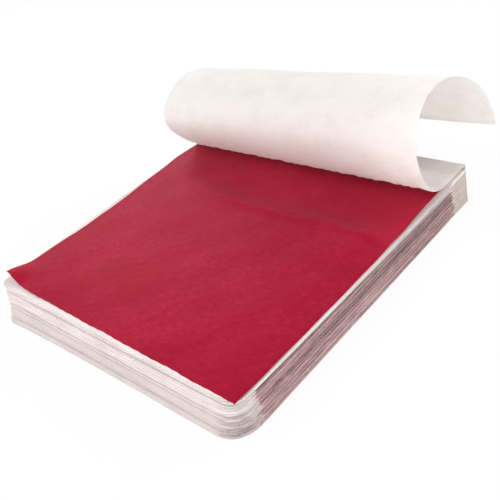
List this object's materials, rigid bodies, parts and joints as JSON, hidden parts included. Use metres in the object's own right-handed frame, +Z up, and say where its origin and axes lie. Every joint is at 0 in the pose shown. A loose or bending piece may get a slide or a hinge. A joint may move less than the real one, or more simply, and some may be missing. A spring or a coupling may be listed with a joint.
{
  "type": "leaf booklet",
  "caption": "Booklet of red metal leaf between tissue sheets, glued along one edge, its cover tissue rolled back to bare the top leaf.",
  "frame": {"origin": "middle of the lowest tissue sheet's underside, without the front flare", "axes": "+X along the glued edge, +Y towards the glued edge, +Z up from the table to the cover tissue"},
  "size_m": [0.0806, 0.1029, 0.0364],
  "materials": {
    "tissue": "matte",
    "cover_tissue": "matte",
    "metal_leaf": "satin",
    "glue": "satin"
  },
  "bodies": {
    "block_01": {"tissues_01": "tissue", "leaves_01": "metal_leaf", "glue_01": "glue"},
    "leaf_01": {"leaf_01": "metal_leaf"},
    "block_02": {"tissues_02": "tissue", "leaves_02": "metal_leaf", "glue_02": "glue"},
    "leaf_02": {"leaf_02": "metal_leaf"},
    "block_03": {"tissues_03": "tissue", "leaves_03": "metal_leaf", "glue_03": "glue"},
    "leaf_03": {"leaf_03": "metal_leaf"},
    "block_04": {"tissues_04": "tissue", "leaves_04": "metal_leaf", "glue_04": "glue"},
    "leaf_04": {"leaf_04": "metal_leaf"},
    "block_05": {"tissues_05": "tissue", "leaves_05": "metal_leaf", "glue_05": "glue"},
    "leaf_05": {"leaf_05": "metal_leaf"},
    "block_06": {"tissues_06": "tissue", "leaves_06": "metal_leaf", "glue_06": "glue"},
    "leaf_06": {"leaf_06": "metal_leaf"},
    "block_07": {"tissues_07": "tissue", "leaves_07": "metal_leaf", "glue_07": "glue"},
    "leaf_07": {"leaf_07": "metal_leaf"},
    "block_08": {"tissues_08": "tissue", "leaves_08": "metal_leaf", "glue_08": "glue"},
    "leaf_08": {"leaf_08": "metal_leaf"},
    "block_09": {"tissues_09": "tissue", "leaves_09": "metal_leaf", "glue_09": "glue"},
    "leaf_09": {"leaf_09": "metal_leaf"},
    "block_10": {"tissues_10": "tissue", "leaves_10": "metal_leaf", "glue_10": "glue"},
    "leaf_10": {"leaf_10": "metal_leaf"},
    "second_page": {"second_page_tissue": "tissue", "second_page_glue": "glue"},
    "second_leaf": {"second_leaf": "metal_leaf"},
    "top_page": {"top_page_tissue": "tissue", "top_page_glue": "glue"},
    "top_leaf": {"top_leaf": "metal_leaf"},
    "cover_root": {"cover_strip_01": "cover_tissue", "cover_glue": "glue"},
    "cover_02": {"cover_strip_02": "cover_tissue"},
    "cover_03": {"cover_strip_03": "cover_tissue"},
    "cover_04": {"cover_strip_04": "cover_tissue"},
    "cover_05": {"cover_strip_05": "cover_tissue"},
    "cover_06": {"cover_strip_06": "cover_tissue"},
    "cover_07": {"cover_strip_07": "cover_tissue"},
    "cover_08": {"cover_strip_08": "cover_tissue"},
    "cover_09": {"cover_strip_09": "cover_tissue"},
    "cover_10": {"cover_strip_10": "cover_tissue"},
    "cover_11": {"cover_strip_11": "cover_tissue"},
    "cover_12": {"cover_strip_12": "cover_tissue"}
  },
  "joints": [
    {"name": "leaf_01_slide", "type": "slide", "parent": "block_01", "child": "leaf_01", "axis": [0, -1, 0], "range_m": [0, 0.09]},
    {"name": "block_02_turn", "type": "hinge", "parent": "block_01", "child": "block_02", "pos_m": [0, 0.0428, 0.00105], "axis": [-1, 0, 0], "range_deg": [0, 13]},
    {"name": "leaf_02_slide", "type": "slide", "parent": "block_02", "child": "leaf_02", "axis": [0, -1, 0], "range_m": [0, 0.09]},
    {"name": "block_03_turn", "type": "hinge", "parent": "block_02", "child": "block_03", "pos_m": [0, 0.0428, 0.0021], "axis": [-1, 0, 0], "range_deg": [0, 13]},
    {"name": "leaf_03_slide", "type": "slide", "parent": "block_03", "child": "leaf_03", "axis": [0, -1, 0], "range_m": [0, 0.09]},
    {"name": "block_04_turn", "type": "hinge", "parent": "block_03", "child": "block_04", "pos_m": [0, 0.0428, 0.00315], "axis": [-1, 0, 0], "range_deg": [0, 13]},
    {"name": "leaf_04_slide", "type": "slide", "parent": "block_04", "child": "leaf_04", "axis": [0, -1, 0], "range_m": [0, 0.09]},
    {"name": "block_05_turn", "type": "hinge", "parent": "block_04", "child": "block_05", "pos_m": [0, 0.0428, 0.0042], "axis": [-1, 0, 0], "range_deg": [0, 13]},
    {"name": "leaf_05_slide", "type": "slide", "parent": "block_05", "child": "leaf_05", "axis": [0, -1, 0], "range_m": [0, 0.09]},
    {"name": "block_06_turn", "type": "hinge", "parent": "block_05", "child": "block_06", "pos_m": [0, 0.0428, 0.00525], "axis": [-1, 0, 0], "range_deg": [0, 13]},
    {"name": "leaf_06_slide", "type": "slide", "parent": "block_06", "child": "leaf_06", "axis": [0, -1, 0], "range_m": [0, 0.09]},
    {"name": "block_07_turn", "type": "hinge", "parent": "block_06", "child": "block_07", "pos_m": [0, 0.0428, 0.0063], "axis": [-1, 0, 0], "range_deg": [0, 13]},
    {"name": "leaf_07_slide", "type": "slide", "parent": "block_07", "child": "leaf_07", "axis": [0, -1, 0], "range_m": [0, 0.09]},
    {"name": "block_08_turn", "type": "hinge", "parent": "block_07", "child": "block_08", "pos_m": [0, 0.0428, 0.00735], "axis": [-1, 0, 0], "range_deg": [0, 13]},
    {"name": "leaf_08_slide", "type": "slide", "parent": "block_08", "child": "leaf_08", "axis": [0, -1, 0], "range_m": [0, 0.09]},
    {"name": "block_09_turn", "type": "hinge", "parent": "block_08", "child": "block_09", "pos_m": [0, 0.0428, 0.0084], "axis": [-1, 0, 0], "range_deg": [0, 13]},
    {"name": "leaf_09_slide", "type": "slide", "parent": "block_09", "child": "leaf_09", "axis": [0, -1, 0], "range_m": [0, 0.09]},
    {"name": "block_10_turn", "type": "hinge", "parent": "block_09", "child": "block_10", "pos_m": [0, 0.0428, 0.00945], "axis": [-1, 0, 0], "range_deg": [0, 13]},
    {"name": "leaf_10_slide", "type": "slide", "parent": "block_10", "child": "leaf_10", "axis": [0, -1, 0], "range_m": [0, 0.09]},
    {"name": "second_page_turn", "type": "hinge", "parent": "block_10", "child": "second_page", "pos_m": [0, 0.0428, 0.01029], "axis": [-1, 0, 0], "range_deg": [0, 15]},
    {"name": "second_leaf_slide", "type": "slide", "parent": "second_page", "child": "second_leaf", "axis": [0, -1, 0], "range_m": [0, 0.09]},
    {"name": "top_page_turn", "type": "hinge", "parent": "second_page", "child": "top_page", "pos_m": [0, 0.0428, 0.01039], "axis": [-1, 0, 0], "range_deg": [0, 15]},
    {"name": "top_leaf_slide", "type": "slide", "parent": "top_page", "child": "top_leaf", "axis": [0, -1, 0], "range_m": [0, 0.09]},
    {"name": "cover_turn", "type": "hinge", "parent": "top_page", "child": "cover_root", "pos_m": [0, 0.0428, 0.0105], "axis": [-1, 0, 0], "range_deg": [0, 24]},
    {"name": "cover_bend_01", "type": "hinge", "parent": "cover_root", "child": "cover_02", "pos_m": [0, 0.02888, 0.01052], "axis": [0.9995, 0.0303, 0], "range_deg": [0, 21.78]},
    {"name": "cover_bend_02", "type": "hinge", "parent": "cover_02", "child": "cover_03", "pos_m": [0, 0.02677, 0.01139], "axis": [0.9999, 0.0163, 0.0058], "range_deg": [0, 21.78]},
    {"name": "cover_bend_03", "type": "hinge", "parent": "cover_03", "child": "cover_04", "pos_m": [0, 0.02384, 0.01431], "axis": [0.9992, 0.0376, -0.0155], "range_deg": [0, 21.78]},
    {"name": "cover_bend_04", "type": "hinge", "parent": "cover_04", "child": "cover_05", "pos_m": [0, 0.02156, 0.01977], "axis": [0.9996, 0.026, 0.0124], "range_deg": [0, 21.78]},
    {"name": "cover_bend_05", "type": "hinge", "parent": "cover_05", "child": "cover_06", "pos_m": [0, 0.02155, 0.0252], "axis": [0.9987, 0.0259, 0.0437], "range_deg": [0, 21.78]},
    {"name": "cover_bend_06", "type": "hinge", "parent": "cover_06", "child": "cover_07", "pos_m": [0, 0.02317, 0.02916], "axis": [0.9975, 0.0334, 0.0622], "range_deg": [0, 21.78]},
    {"name": "cover_bend_07", "type": "hinge", "parent": "cover_07", "child": "cover_08", "pos_m": [0, 0.0261, 0.03212], "axis": [0.9971, 0.0372, 0.066], "range_deg": [0, 21.78]},
    {"name": "cover_bend_08", "type": "hinge", "parent": "cover_08", "child": "cover_09", "pos_m": [0, 0.03078, 0.03409], "axis": [0.9984, 0.0126, 0.0557], "range_deg": [0, 21.78]},
    {"name": "cover_bend_09", "type": "hinge", "parent": "cover_09", "child": "cover_10", "pos_m": [0, 0.03597, 0.03412], "axis": [0.9984, 0.0089, 0.0557], "range_deg": [0, 21.78]},
    {"name": "cover_bend_10", "type": "hinge", "parent": "cover_10", "child": "cover_11", "pos_m": [0, 0.04534, 0.03031], "axis": [0.9984, 0.007, 0.0565], "range_deg": [0, 21.78]},
    {"name": "cover_bend_11", "type": "hinge", "parent": "cover_11", "child": "cover_12", "pos_m": [0, 0.05444, 0.02136], "axis": [0.9984, 0.0071, 0.0563], "range_deg": [0, 21.78]}
  ]
}
